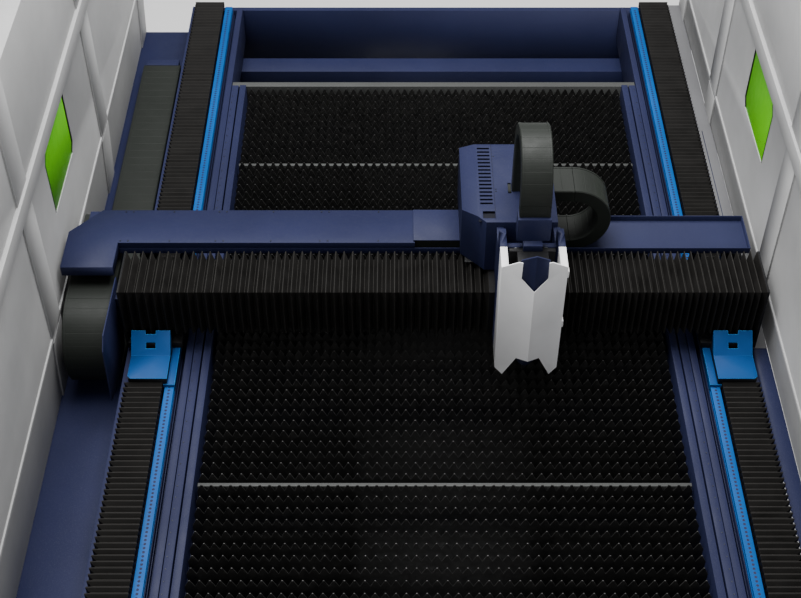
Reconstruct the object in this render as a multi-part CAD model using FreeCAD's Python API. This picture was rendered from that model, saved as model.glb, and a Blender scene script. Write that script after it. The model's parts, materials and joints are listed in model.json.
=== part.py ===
import FreeCAD, Part
import math
import os
from FreeCAD import Vector

# Fiber laser cutting machine. All sizes in millimetres.
# While it is being built, X is measured from the middle of the cutting table, Y from its
# middle towards the back, and Z from the top of the guide rails. save() then moves each
# piece so that the origin is the bottom centre of the whole machine.

# ---- cutting table ----
TABLE_WIDTH = 1552.0
TABLE_LENGTH = 2500.0
SLAT_PITCH = 43.5
SLAT_THICK = 3.0
SLAT_HEIGHT = 105.0
TOOTH_COUNT = 51
TOOTH_DEPTH = 30.0
CROSS_BAR_THICK = 13.0
CROSS_BAR_SPACING = 781.5
COMB_WIDTH = 25.0
SIDE_MEMBER_WIDTH = 27.0
GUARD_WIDTH = 24.0

# ---- levels, from the rail top ----
FLOOR_DEPTH = 870.0
WALL_TOP = 1130.0
SILL_DROP = 60.0
BEAM_BOTTOM = 320.0
FOOT_LEVEL = 12.0
FOOT_THICK = 26.0

# ---- bed ----
FRONT_OVERHANG = 225.0
REAR_OVERHANG = 585.0
END_BEAM = 25.0
RAIL_WIDTH = 31.0
RAIL_HEIGHT = 28.0
RAIL_GAP = 116.0
BELLOWS_MARGIN = 11.0
RACK_SETBACK = 12.0
RACK_WIDTH = 25.0
Y_BELLOWS_GAP = 5.0
RACK_MODULE = 4.0
PINION_TEETH = 20
X_RACK_MODULE = 3.0
X_PINION_TEETH = 17

# ---- cabin walls ----
POST_SIZE = 60.0
SHEET = 3.0
POST_PITCH = 1056.0
POST_COVER_WIDTH = 130.0
LEFT_POST_Y = -276.0
RIGHT_POST_SHIFT = 260.0
LEFT_WALL_GAP = 30.0
RIGHT_WALL_GAP = 59.0
WINDOW_LENGTH = 352.0
WINDOW_HEIGHT = 235.0
WINDOW_LEVEL = 388.0
WALL_FOLD_LEVEL = 136.0
RIB_LEVEL = 656.0
RIB_HEIGHT = 65.0
FOLD_LIP = 9.0
STRIP_THICK = 3.0
WALL_LEAN = 14.0

# ---- gantry, Y values at the rest position ----
NOZZLE_Y = -360.0
BEAM_FRONT = -205.0
BEAM_DEPTH = 130.0
BEAM_LOW = 95.0
BEAM_HEIGHT = 133.0
BELLOWS_REACH = 51.0
BELLOWS_OVERLAP = 14.0
BELLOWS_LOW = 82.0
BELLOWS_RISE = 49.0
BELLOWS_THICK = 26.0
TRAY_GAP = 41.0
TRAY_DEPTH = 165.0
TRAY_DROP = 48.0
TRAY_WALL = 25.0
ARM_HEIGHT = 36.0
FOOT_FRONT = -422.0
FOOT_BACK = 75.0
X_RAIL = 18.0

# ---- carriage and cutting head ----
HEAD_X = 272.0
CARRIAGE_WIDTH = 240.0
HOUSING_GAP = 9.0
HOUSING_FRONT = -159.0
HOUSING_BACK = 236.0
COVER_WIDTH = 204.0
SLIDE_TOP = 498.0
COVER_FRONT = -408.0
RIDGE_DEPTH = 37.0
CHEEK = 22.0
NOZZLE_TIP = 20.0
HOUSING_FACET = 52.0
HOUSING_SHEET = 3.0

# ---- drag chains ----
X_CHAIN_THICK = 46.0
Z_CHAIN_THICK = 40.0
X_CHAIN_WIDTH = 128.0
X_CHAIN_RADIUS = 131.0
X_CHAIN_LOOP_X = 434.5
Y_CHAIN_WIDTH = 160.0
Y_CHAIN_THICK = 45.0
Y_CHAIN_RADIUS = 165.0
Y_CHAIN_LOOP_Y = -200.0
Y_CHAIN_DROP = 46.0
Z_CHAIN_WIDTH = 96.0
Z_CHAIN_RADIUS = 157.5
Z_CHAIN_LOOP_LEVEL = 677.0
Z_BLOCK_TOP = 630.0

# ---- travel, used to size the chains ----
X_LEFT = 1022.0
Y_FORWARD = 820.0
Y_BACK = 1560.0

# ---- worked out from the sizes above ----
BEAM_TOP = BEAM_LOW + BEAM_HEIGHT
BEAM_BACK = BEAM_FRONT + BEAM_DEPTH
BELLOWS_FRONT = BEAM_FRONT - BELLOWS_REACH
BELLOWS_BACK = BEAM_BACK + BELLOWS_OVERLAP
BELLOWS_TOP = BEAM_TOP + BELLOWS_RISE
TRAY_FRONT = BELLOWS_BACK + TRAY_GAP
TRAY_FLOOR = BELLOWS_TOP - TRAY_DROP
ARM_LOW = BELLOWS_TOP - ARM_HEIGHT
HOUSING_LOW = BELLOWS_TOP + HOUSING_GAP
Y_CHAIN_TOP = ARM_LOW - Y_CHAIN_DROP
Y_CHAIN_LEVEL = Y_CHAIN_TOP - Y_CHAIN_RADIUS
Y_CHAIN_LOW = Y_CHAIN_LEVEL - Y_CHAIN_RADIUS
TROUGH_DEPTH = 5 - Y_CHAIN_LOW
RAIL_LEVEL = -TROUGH_DEPTH - SILL_DROP
HALF_TABLE = TABLE_WIDTH / 2
COMB_IN = HALF_TABLE + 10
SIDE_IN = COMB_IN + COMB_WIDTH + 6
GUARD_IN = SIDE_IN + SIDE_MEMBER_WIDTH + 3
PITCH_RADIUS = RACK_MODULE * PINION_TEETH / 2
Y_BELLOWS_WIDTH = RACK_SETBACK + RACK_WIDTH + 2 * PITCH_RADIUS + BELLOWS_MARGIN
RAIL_IN = HALF_TABLE + RAIL_GAP
RAIL_OUT = RAIL_IN + RAIL_WIDTH
BELLOWS_IN = RAIL_OUT + Y_BELLOWS_GAP
BELLOWS_OUT = BELLOWS_IN + Y_BELLOWS_WIDTH
BED_OUT = BELLOWS_OUT + 10
TROUGH_IN = BED_OUT
CHAIN_IN = TROUGH_IN + 33
CHAIN_OUT = CHAIN_IN + Y_CHAIN_WIDTH
LEFT_WALL = CHAIN_OUT + LEFT_WALL_GAP
RIGHT_WALL = BELLOWS_OUT + RIGHT_WALL_GAP
TROUGH_OUT = LEFT_WALL + WALL_LEAN + SHEET
HALF_LENGTH = TABLE_LENGTH / 2
BED_FRONT = -HALF_LENGTH - FRONT_OVERHANG
BED_BACK = HALF_LENGTH + REAR_OVERHANG
GANTRY_HALF = BELLOWS_OUT + 6
END_PLATE = 6.0
GANTRY_END = GANTRY_HALF + END_PLATE
ARM_IN = GANTRY_END + 29
ARM_OUT = CHAIN_OUT + 13
RACK_PITCH = math.pi * RACK_MODULE
RACK_IN = BELLOWS_IN + RACK_SETBACK
RACK_LINE = RACK_IN + RACK_WIDTH
PINION_X = RACK_LINE + PITCH_RADIUS
PINION_Y = FOOT_BACK - 50
X_PINION_Y = BEAM_FRONT + BEAM_DEPTH + X_PINION_TEETH * X_RACK_MODULE / 2 + 0.1
X_PINION_X = HEAD_X - 152
CARRIAGE_LEFT = HEAD_X - CARRIAGE_WIDTH / 2
CARRIAGE_RIGHT = HEAD_X + CARRIAGE_WIDTH / 2
HOUSING_LEFT = HEAD_X - 211
HOUSING_RIGHT = HEAD_X + 94
X_CHAIN_FRONT = TRAY_FRONT + 15
X_CHAIN_BACK = X_CHAIN_FRONT + X_CHAIN_WIDTH
X_CHAIN_FIXED = X_CHAIN_LOOP_X - X_LEFT / 2 - 14
X_CHAIN_MOVING = HEAD_X - 82
Y_CHAIN_MOVING = Y_CHAIN_LOOP_Y + Y_FORWARD / 2 + 10
Y_CHAIN_FIXED = BED_BACK - 325
TRAY_BACK = TRAY_FRONT + TRAY_DEPTH
X_CHAIN_LOW = TRAY_FLOOR + HOUSING_SHEET + 0.5
X_CHAIN_LEVEL = X_CHAIN_LOW + X_CHAIN_RADIUS
X_CHAIN_TOP = X_CHAIN_LEVEL + X_CHAIN_RADIUS
HOUSING_TOP = X_CHAIN_TOP + HOUSING_SHEET + 0.5
Z_CHAIN_FRONT = NOZZLE_Y + 75
Z_CHAIN_MIDDLE = Z_CHAIN_FRONT + Z_CHAIN_RADIUS
Z_CHAIN_BACK = Z_CHAIN_MIDDLE + Z_CHAIN_RADIUS
WALL_LEFT_OUT = LEFT_WALL + SHEET + POST_SIZE
WALL_RIGHT_OUT = RIGHT_WALL + SHEET + POST_SIZE
ORIGIN = Vector((WALL_RIGHT_OUT - WALL_LEFT_OUT) / 2,
                (BED_FRONT + BED_BACK) / 2,
                -FLOOR_DEPTH)


# ---- helpers ----
def box(x, y, z):
    """A block from three (low, high) pairs."""
    return Part.makeBox(x[1] - x[0], y[1] - y[0], z[1] - z[0], Vector(x[0], y[0], z[0]))


def extrude(points, direction):
    return Part.Face(Part.makePolygon(points + points[:1])).extrude(direction)


def plan(outline, z):
    """An (x, y) outline raised between two levels."""
    points = [Vector(x, y, z[0]) for x, y in outline]
    return extrude(points, Vector(0, 0, z[1] - z[0]))


def side_profile(outline, x):
    """A (y, z) outline run along X."""
    points = [Vector(x[0], y, z) for y, z in outline]
    return extrude(points, Vector(x[1] - x[0], 0, 0))


def front_profile(outline, y):
    """An (x, z) outline run along Y."""
    points = [Vector(px, y[0], z) for px, z in outline]
    return extrude(points, Vector(0, y[1] - y[0], 0))


def tube(x, y, z, wall, axis):
    """A rectangular tube, open along the named axis."""
    ranges = [x, y, z]
    inner = []
    for i, (low, high) in enumerate(ranges):
        inner.append((low - 1, high + 1) if "xyz"[i] == axis else (low + wall, high - wall))
    return box(x, y, z).cut(box(*inner))


def rod(radius, base, height, axis=(0, 0, 1)):
    return Part.makeCylinder(radius, height, Vector(*base), Vector(*axis))


def mirror(shape):
    return shape.mirror(Vector(0, 0, 0), Vector(1, 0, 0))


def both_sides(shape):
    return [shape, mirror(shape)]


def join(shapes):
    return shapes[0].multiFuse(shapes[1:]).removeSplitter()


def save(name, shapes):
    """Writes one node, as one solid or a group of separate solids."""
    solids = []
    for shape in (shapes if isinstance(shapes, list) else [shapes]):
        solids.extend(shape.Solids)
    group = solids[0].copy() if len(solids) == 1 else Part.makeCompound(solids)
    group.translate(-ORIGIN)
    if not group.isValid():
        print("not valid:", name)
    group.exportStep("parts/" + name + ".step")
    print(name, len(solids))


# ---- bed ----
def bed():
    pad = 40.0
    y = (BED_FRONT, BED_BACK)
    channel = -BEAM_BOTTOM
    beam = tube((RAIL_IN - 12, BED_OUT - 5), y, (channel, -RAIL_HEIGHT - pad), 10, "y")
    rail_pad = box((RAIL_IN - 5, RACK_LINE - 2), y, (-RAIL_HEIGHT - pad, -50))
    rail_seat = box((RAIL_IN - 2, RAIL_OUT + 2), y, (-50, -RAIL_HEIGHT))
    save("bed_beams", both_sides(join([beam, rail_pad, rail_seat])))

    x_end = (-BED_OUT, BED_OUT)
    front = tube(x_end, (BED_FRONT - END_BEAM, BED_FRONT), (-BEAM_BOTTOM, -25), 4, "x")
    rear = tube(x_end, (BED_BACK, BED_BACK + END_BEAM), (-BEAM_BOTTOM, -25), 4, "x")
    cross = [front, rear]
    count = 5
    for i in range(count):
        y0 = BED_FRONT + 120 + i * (BED_BACK - BED_FRONT - 340) / (count - 1)
        cross.append(tube((-RAIL_IN + 12, RAIL_IN - 12), (y0, y0 + 100), (-300, -200), 6, "x"))
    save("bed_cross_beams", cross)

    legs = []
    feet = []
    for i in range(4):
        y0 = BED_FRONT + 60 + i * (BED_BACK - BED_FRONT - 260) / 3
        middle = (RAIL_IN + BED_OUT) / 2
        leg = tube((middle - 60, middle + 60), (y0, y0 + 140), (40 - FLOOR_DEPTH, channel), 8, "z")
        stem = rod(15, (middle, y0 + 70, 20 - FLOOR_DEPTH), 20)
        foot = rod(45, (middle, y0 + 70, -FLOOR_DEPTH), 20)
        foot_plate = box((middle - 60, middle + 60), (y0, y0 + 140), (28 - FLOOR_DEPTH, 40 - FLOOR_DEPTH))
        legs += both_sides(join([leg, foot_plate.cut(rod(15.3, (middle, y0 + 70, 20 - FLOOR_DEPTH), 20))]))
        feet += both_sides(join([stem, foot]))
    save("bed_legs", legs)
    save("leveling_feet", feet)


def guides():
    """Guide rails with a row of bolt recesses, and the toothed racks beside them."""
    y = (BED_FRONT + 8, BED_BACK - 8)
    rail = box((RAIL_IN, RAIL_OUT), y, (-RAIL_HEIGHT, 0))
    waist = 4.0
    groove = box((RAIL_IN - 1, RAIL_IN + waist), (y[0] - 1, y[1] + 1), (-18, -10))
    rail = rail.cut(groove)
    rail = rail.cut(box((RAIL_OUT - waist, RAIL_OUT + 1), (y[0] - 1, y[1] + 1), (-18, -10)))
    save("y_rails", both_sides(rail))

    teeth = int((y[1] - y[0] - 50) / RACK_PITCH)
    base = RACK_LINE - 1.25 * RACK_MODULE
    tip = RACK_LINE + RACK_MODULE
    slope = RACK_MODULE * math.tan(math.radians(20))
    half = RACK_PITCH / 4 - 0.15
    first = PINION_Y - math.floor((PINION_Y - y[0] - 20) / RACK_PITCH) * RACK_PITCH
    outline = [(RACK_IN, first - RACK_PITCH), (base, first - RACK_PITCH)]
    for i in range(teeth - 1):
        centre = first + i * RACK_PITCH
        outline += [(base, centre - half - slope * 1.25), (tip, centre - half + slope)]
        outline += [(tip, centre + half - slope), (base, centre + half + slope * 1.25)]
    last = first + (teeth - 1) * RACK_PITCH
    outline += [(base, last), (RACK_IN, last)]
    save("y_racks", both_sides(plan(outline, (-50, -24))))


def side_covers():
    """Folded guards between rails and table, and the covers right of the right bellows."""
    y = (BED_FRONT, BED_BACK)
    outer = GUARD_IN + GUARD_WIDTH
    top = box((GUARD_IN, outer), y, (-11, -8))
    skirt = box((GUARD_IN, GUARD_IN + 3), y, (-180, -11))
    lip = box((outer - 3, outer), y, (-180, -11))
    save("rail_guards", both_sides(join([top, skirt, lip])))

    x0 = BED_OUT - 6
    x1 = RIGHT_WALL - 3
    channel = join([box((x0, x1), y, (-4, 0)), box((x0, x0 + 4), y, (-60, -4)),
                    box((x1 - 4, x1), y, (-60, -4)), box((BELLOWS_OUT - 10, x0), y, (-8, -4.3))])
    strip = box((x0, x1), (NOZZLE_Y + 110, BED_BACK), (0, STRIP_THICK))
    slot = box((x0 + 12, x0 + 15), (NOZZLE_Y + 300, BED_BACK - 900), (-1, 4))
    save("right_side_covers", [channel, strip.cut(slot)])


def trough():
    y = (BED_FRONT, BED_BACK)
    floor = box((-TROUGH_OUT, -TROUGH_IN), y, (-TROUGH_DEPTH - 4, -TROUGH_DEPTH))
    inner = box((-TROUGH_IN - 4, -TROUGH_IN), y, (-TROUGH_DEPTH, -4.3))
    flange = box((-TROUGH_IN, -BELLOWS_OUT + 10), y, (-8, -4.3))
    anchor = box((-CHAIN_OUT + 10, -CHAIN_IN - 10), (Y_CHAIN_FIXED, Y_CHAIN_FIXED + 40),
                 (-TROUGH_DEPTH, -TROUGH_DEPTH + 50))
    save("chain_trough", [join([floor, inner, flange]), anchor])


# ---- cutting table ----
def table():
    y = (-HALF_LENGTH, HALF_LENGTH)
    low = -SLAT_HEIGHT - 55
    web = 4.0
    out = SIDE_IN + SIDE_MEMBER_WIDTH
    member = join([box((SIDE_IN, out), y, (-10, -6)), box((SIDE_IN, SIDE_IN + web), y, (low, -10)),
                   box((SIDE_IN, out), y, (low - web, low))])
    save("table_sides", both_sides(member))

    slot_floor = -SLAT_HEIGHT - 1
    comb = box((COMB_IN - 34, COMB_IN + COMB_WIDTH), y, (slot_floor - 8, slot_floor))
    rib = box((COMB_IN, COMB_IN + COMB_WIDTH), y, (slot_floor, -4))
    bracket = box((COMB_IN + COMB_WIDTH, SIDE_IN), y, (slot_floor - 8, slot_floor + 12))
    save("slat_combs", both_sides(join([comb, rib, bracket])))

    count = int(TABLE_LENGTH / SLAT_PITCH)
    bars = [-26 - CROSS_BAR_SPACING, -26.0, -26 + CROSS_BAR_SPACING]
    slats = []
    for i in range(count):
        centre = (i - (count - 1) / 2) * SLAT_PITCH
        if min(abs(centre - bar) for bar in bars) > SLAT_THICK + CROSS_BAR_THICK / 2:
            slats.append(slat(centre))
    save("slats", slats)
    cross = []
    for centre in bars:
        half = CROSS_BAR_THICK / 2
        cross.append(box((-HALF_TABLE, HALF_TABLE), (centre - half, centre + half),
                         (-SLAT_HEIGHT - 1, -24)))
    save("cross_bars", cross)

    frame = []
    for sign in (-1, 1):
        edge = sign * HALF_LENGTH
        y_end = (min(edge, edge + sign * 30), max(edge, edge + sign * 30))
        frame.append(tube((-out, out), y_end, (low, -12), 4, "x"))

    top = slot_floor - 8
    for x0 in (HALF_TABLE - 62, HALF_TABLE / 3):
        frame += both_sides(tube((x0, x0 + 50), y, (top - 50, top), 4, "y"))
    save("table_frame", frame)
    cross_members = []
    for y0 in (-1000.0, -400.0, 200.0, 800.0):
        cross_members.append(tube((-out, out), (y0, y0 + 50), (-200, low - web), 4, "x"))
    save("table_cross_members", cross_members)


def slat(centre):
    """One toothed cutting slat, standing on edge across the table."""
    pitch = TABLE_WIDTH / TOOTH_COUNT
    y = (centre - SLAT_THICK / 2, centre + SLAT_THICK / 2)
    outline = [(HALF_TABLE, -SLAT_HEIGHT - 1), (-HALF_TABLE, -SLAT_HEIGHT - 1)]
    for i in range(TOOTH_COUNT):
        left = -HALF_TABLE + i * pitch
        outline += [(left, -1 - TOOTH_DEPTH), (left + pitch / 2 - 2, -1), (left + pitch / 2 + 2, -1)]
    outline.append((HALF_TABLE, -1 - TOOTH_DEPTH))
    return front_profile(outline, y)


def chutes():
    """Sloped plates below the table that lead scrap to the middle of the bed."""
    shelf = -BEAM_BOTTOM
    outline = [(RAIL_IN - 12, shelf), (RAIL_IN - 12, shelf + 4), (RAIL_IN - 40, shelf + 4), (250, -700),
               (250, -704), (RAIL_IN - 42, shelf)]
    plate = front_profile(outline, (BED_FRONT + 40, BED_BACK - 40))
    save("scrap_chutes", both_sides(plate))


# ---- cabin walls ----
def post_places(shift):
    places = []
    for i in (-1, 0, 1, 2):
        places.append(min(max(LEFT_POST_Y + shift + i * POST_PITCH, BED_FRONT + 40), BED_BACK - 60))
    return sorted(set(places))


def wall(side, inner, shift):
    """One side wall. side is -1 for the left and 1 for the right."""
    def block(x, y, z):
        return box((min(side * x[0], side * x[1]), max(side * x[0], side * x[1])), y, z)

    y = (BED_FRONT - END_BEAM, BED_BACK + END_BEAM)
    base_level = -TROUGH_DEPTH if side < 0 else -4.0
    lean = WALL_LEAN if side < 0 else 0.0
    foot = inner + lean
    sheet = [(inner, WALL_TOP), (inner, WALL_FOLD_LEVEL), (foot, base_level), (foot + SHEET, base_level),
             (inner + SHEET, WALL_FOLD_LEVEL), (inner + SHEET, WALL_TOP)]
    panel = front_profile([(side * px, z) for px, z in sheet], y)
    start = LEFT_POST_Y + shift + 280
    opening = window_outline(start, 0)
    cutter = side_profile(opening, (side * inner - 40, side * inner + 40))
    panel = panel.cut(cutter)
    fold = block((inner - 5, inner), y, (WALL_FOLD_LEVEL - FOLD_LIP, WALL_FOLD_LEVEL + FOLD_LIP))
    panel = join([panel, fold])
    save("wall_panel_left" if side < 0 else "wall_panel_right", panel)

    glass_x = sorted((side * (inner + SHEET), side * (inner + SHEET + 4)))
    window = side_profile(window_outline(start, 14), glass_x)
    rib = block((inner - 14, inner), y, (RIB_LEVEL, RIB_LEVEL + RIB_HEIGHT))

    covers = []
    frame = []
    tube_x = (inner + SHEET, inner + SHEET + POST_SIZE)
    for place in post_places(shift):
        y_cover = (place - POST_COVER_WIDTH / 2, place + POST_COVER_WIDTH / 2)
        for z in ((WALL_FOLD_LEVEL + FOLD_LIP, RIB_LEVEL), (RIB_LEVEL + RIB_HEIGHT, WALL_TOP)):
            covers.append(block((inner - 6, inner), y_cover, z))
        covers.append(front_profile(foot_cover(side, inner, foot, base_level), y_cover))
        y_post = (place - POST_SIZE / 2, place + POST_SIZE / 2)
        post = block(tube_x, y_post, (RAIL_LEVEL, WALL_TOP - POST_SIZE))
        frame.append(post.cut(lean_space(side, inner, foot, base_level, y)))
        frame.append(block(tube_x, y_post, (-FLOOR_DEPTH, RAIL_LEVEL - POST_SIZE)))
        frame.append(block((BED_OUT - 5, tube_x[0]), y_post, (RAIL_LEVEL - POST_SIZE, RAIL_LEVEL)))
    frame.append(block(tube_x, y, (WALL_TOP - POST_SIZE, WALL_TOP)))
    frame.append(block(tube_x, y, (RAIL_LEVEL - POST_SIZE, RAIL_LEVEL)))
    return window, rib, covers, frame


def foot_cover(side, inner, foot, base_level):
    """Outline of the post cover below the fold, lying on the leaning foot of the sheet."""
    top = WALL_FOLD_LEVEL - FOLD_LIP
    lean = (foot - inner) * FOLD_LIP / (WALL_FOLD_LEVEL - base_level)
    low = base_level if side < 0 else STRIP_THICK
    outline = [(inner + lean - 6, top), (inner + lean, top), (foot, low), (foot - 6, low)]
    return [(side * x, z) for x, z in outline]


def lean_space(side, inner, foot, base_level, y):
    """The space behind the leaning foot of the sheet, left free by the posts."""
    outline = [(side * (foot + SHEET), base_level - 6), (side * (foot + SHEET), base_level),
               (side * (inner + SHEET), WALL_FOLD_LEVEL), (side * (inner - 30), WALL_FOLD_LEVEL),
               (side * (inner - 30), base_level - 6)]
    return front_profile(outline, y)


def walls():
    left = wall(-1, LEFT_WALL, 0.0)
    right = wall(1, RIGHT_WALL, RIGHT_POST_SHIFT)
    save("windows", [left[0], right[0]])
    save("wall_trim", [left[1], right[1]] + left[2] + right[2])
    save("wall_frame_left", left[3])
    save("wall_frame_right", right[3])


def window_outline(start, margin):
    """A long window whose lower back and upper front corners are cut off."""
    cut = 28.0
    y0 = start - margin
    y1 = start + WINDOW_LENGTH + margin
    z0 = WINDOW_LEVEL - margin
    z1 = WINDOW_LEVEL + WINDOW_HEIGHT + margin
    return [(y0, z0), (y1 - cut, z0), (y1, z0 + cut), (y1, z1), (y0 + cut, z1), (y0, z1 - cut)]


# ---- gantry ----
def gantry_frame():
    x = (-GANTRY_HALF, GANTRY_HALF)
    save("gantry_beam", tube(x, (BEAM_FRONT, BEAM_BACK), (BEAM_LOW, BEAM_TOP), 10, "x"))

    foot_top = FOOT_LEVEL + FOOT_THICK
    outline = [(BELLOWS_FRONT - 2, foot_top), (BELLOWS_BACK, foot_top), (BELLOWS_BACK, BELLOWS_TOP + 2),
               (BELLOWS_FRONT - 2, BELLOWS_TOP + 2)]
    save("gantry_ends", both_sides(side_profile(outline, (GANTRY_HALF, GANTRY_END))))

    tongue = box((RAIL_OUT - 9, BELLOWS_OUT - 15), (FOOT_FRONT + 2, BELLOWS_FRONT), (FOOT_LEVEL, foot_top))
    plate = box((RAIL_IN - 12, GANTRY_END), (BELLOWS_FRONT - 2, FOOT_BACK), (FOOT_LEVEL, foot_top))
    foot = join([tongue, plate])
    foot = foot.cut(rod(16, (PINION_X, PINION_Y, FOOT_LEVEL - 1), FOOT_THICK + 2))
    save("gantry_feet", both_sides(foot))

    save("foot_brackets", both_sides(foot_bracket(foot_top)))

    blocks = []
    for y0, y1 in ((FOOT_FRONT - 2, BELLOWS_FRONT + 30), (FOOT_BACK - 100, FOOT_BACK)):
        block = box((RAIL_IN - 3, RAIL_OUT + 4), (y0, y1), (-14, FOOT_LEVEL))
        block = block.cut(box((RAIL_IN - 0.3, RAIL_OUT + 0.3), (y0 - 1, y1 + 1), (-15, 0.3)))
        blocks += both_sides(block)
    save("y_slide_blocks", blocks)

    rail_front = box(x, (BEAM_FRONT - X_RAIL, BEAM_FRONT), (BEAM_LOW + 20, BEAM_LOW + 40))
    rail_top = box(x, (BEAM_FRONT + 55, BEAM_FRONT + 75), (BEAM_TOP, BEAM_TOP + X_RAIL))
    save("x_rails", [rail_front, rail_top])
    x_rack(BEAM_BACK, BEAM_TOP)


def x_rack(beam_back, beam_top):
    module = X_RACK_MODULE
    pitch = math.pi * module
    line = beam_back
    root = line - 1.25 * module
    tip = line + module
    slope = module * math.tan(math.radians(20))
    half = pitch / 4 - 0.15
    count = int(2 * (GANTRY_HALF - 10) / pitch)
    first = X_PINION_X - math.floor((X_PINION_X + GANTRY_HALF - 20) / pitch) * pitch
    outline = [(first - pitch, line - 16), (first - pitch, root)]
    last = first
    for i in range(count - 2):
        last = first + i * pitch
        outline += [(last - half - slope * 1.25, root), (last - half + slope, tip)]
        outline += [(last + half - slope, tip), (last + half + slope * 1.25, root)]
    outline += [(last + pitch, root), (last + pitch, line - 16)]
    save("x_rack", plan(outline, (beam_top, beam_top + 16)))


def foot_bracket(foot_top):
    """Bright folded bracket: a flat flange, then a 45 degree face with notch and window."""
    thick = 3.0
    rise = 60.0
    x = (BELLOWS_IN - 16, BELLOWS_OUT - 13)
    fold = BELLOWS_FRONT - rise - 3
    back = fold + rise
    top = foot_top + rise
    outline = [(FOOT_FRONT, foot_top), (fold, foot_top), (back, top), (back - 1, top + thick),
               (fold - 1, foot_top + thick), (FOOT_FRONT, foot_top + thick)]
    sheet = side_profile(outline, x)
    middle = (x[0] + x[1]) / 2
    openings = []
    for half, y in ((17, (back - 10, back + 10)), (16, (fold + 16, fold + 31))):
        openings.append(box((middle - half, middle + half), y, (foot_top, foot_top + 90)))
    sheet = sheet.cut(openings[0].fuse(openings[1]))
    ears = []
    for x0 in (x[0], x[1] - thick):
        ear = [(fold, foot_top + thick), (back - 1, top + thick), (back - 1, foot_top + 30),
               (fold + 30, foot_top)]
        ears.append(side_profile(ear, (x0, x0 + thick)))
    corner = [(x[1] + 1, FOOT_FRONT - 1), (x[1] - 12, FOOT_FRONT - 1), (x[1] + 1, FOOT_FRONT + 12)]
    return join([sheet] + ears).cut(plan(corner, (foot_top - 1, foot_top + 6)))


def tray():
    """Open cable tray behind the beam, with its lid, left arm and the brackets that carry it."""
    thick = 3.0
    x = (-ARM_IN, GANTRY_HALF - 10)
    y = (TRAY_FRONT, TRAY_BACK)
    front = (TRAY_FRONT, TRAY_FRONT + thick)
    back = (TRAY_BACK - thick, TRAY_BACK)
    rim = TRAY_FLOOR + TRAY_WALL
    z = (TRAY_FLOOR, rim)
    save("cable_tray", join([box(x, y, (TRAY_FLOOR, TRAY_FLOOR + thick)), box(x, front, z), box(x, back, z),
                             box((x[1] - thick, x[1]), y, z)]))

    arm_front = NOZZLE_Y + 220
    chamfer = 110.0
    lid = plan(arm_outline(arm_front, chamfer) + [(X_CHAIN_FIXED, TRAY_BACK)], (BELLOWS_TOP, BELLOWS_TOP + 2))
    skirts = [box((-ARM_IN, X_CHAIN_FIXED), side, (rim, BELLOWS_TOP)) for side in (front, back)]
    save("tray_lid", join([lid] + skirts))
    save("arm_box", arm(arm_front, chamfer))

    low = -45.0
    shield = [(arm_front + 5, TRAY_FLOOR), (arm_front - 270, TRAY_FLOOR + 7),
              (arm_front - 310, TRAY_FLOOR - 29), (arm_front - 330, -16),
              (arm_front - 212, low), (arm_front - 60, low + 6), (arm_front + 5, 60)]
    save("arm_side_plate", side_profile(shield, (-ARM_IN, -ARM_IN + 4)))

    bars = []
    face = BEAM_FRONT + BEAM_DEPTH
    shelf = (TRAY_FLOOR - 55, TRAY_FLOOR - 50)
    for x0 in (-GANTRY_HALF + 160, -GANTRY_HALF / 3, GANTRY_HALF / 3, GANTRY_HALF - 200):
        bar_x = (x0, x0 + 40)
        bars.append(join([box(bar_x, (face, face + 5), (BEAM_LOW + 20, shelf[1])),
                          box(bar_x, (face, TRAY_BACK - 20), shelf),
                          box(bar_x, (TRAY_BACK - 25, TRAY_BACK - 20), (shelf[0], TRAY_FLOOR))]))
    bars.append(box((-ARM_IN + 4, -GANTRY_END), (arm_front - 60, arm_front - 20), (150, 190)))
    bars.append(box((X_CHAIN_FIXED - 40, X_CHAIN_FIXED), (X_CHAIN_FRONT + 10, X_CHAIN_BACK - 10),
                    (TRAY_FLOOR + thick, BELLOWS_TOP - 1)))
    save("tray_brackets", bars)


def arm(arm_front, chamfer):
    """Shallow box at the left end of the lid, with the tongue that pulls the long drag chain."""
    z = (ARM_LOW, BELLOWS_TOP)
    outer = arm_outline(arm_front, chamfer)[1:-1] + [(-ARM_IN, TRAY_FRONT), (-ARM_IN, TRAY_BACK)]
    inner = [(-ARM_IN + 10, TRAY_BACK - 3), (-ARM_OUT + chamfer - 9, TRAY_BACK - 3),
             (-ARM_OUT + 3, TRAY_BACK - chamfer - 2), (-ARM_OUT + 3, arm_front + 3),
             (-ARM_IN - 3, arm_front + 3), (-ARM_IN - 3, TRAY_FRONT + 3), (-ARM_IN + 10, TRAY_FRONT + 3)]
    shell = plan(outer, z).cut(plan(inner, (z[0] - 1, z[1] + 1)))
    x = (-CHAIN_OUT + 20, -CHAIN_IN - 20)
    top = Y_CHAIN_TOP
    hanger = arm_front + 60
    tongue = box(x, (hanger, Y_CHAIN_MOVING + 6), (top + 0.5, top + 6))
    clamp = box(x, (Y_CHAIN_MOVING, Y_CHAIN_MOVING + 6), (top - Y_CHAIN_THICK, top + 0.5))
    lug = box(x, (hanger, hanger + 3), (top + 6, ARM_LOW + 2))
    cross = box((-ARM_OUT + 2, -ARM_IN - 2), (hanger, hanger + 3), (ARM_LOW, BELLOWS_TOP))
    return join([shell, tongue, clamp, lug, cross])


def arm_outline(arm_front, chamfer):
    return [(X_CHAIN_FIXED, TRAY_FRONT), (-ARM_IN, TRAY_FRONT), (-ARM_IN, arm_front),
            (-ARM_OUT, arm_front), (-ARM_OUT, TRAY_BACK - chamfer),
            (-ARM_OUT + chamfer - 10, TRAY_BACK), (-ARM_IN, TRAY_BACK)]


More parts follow.
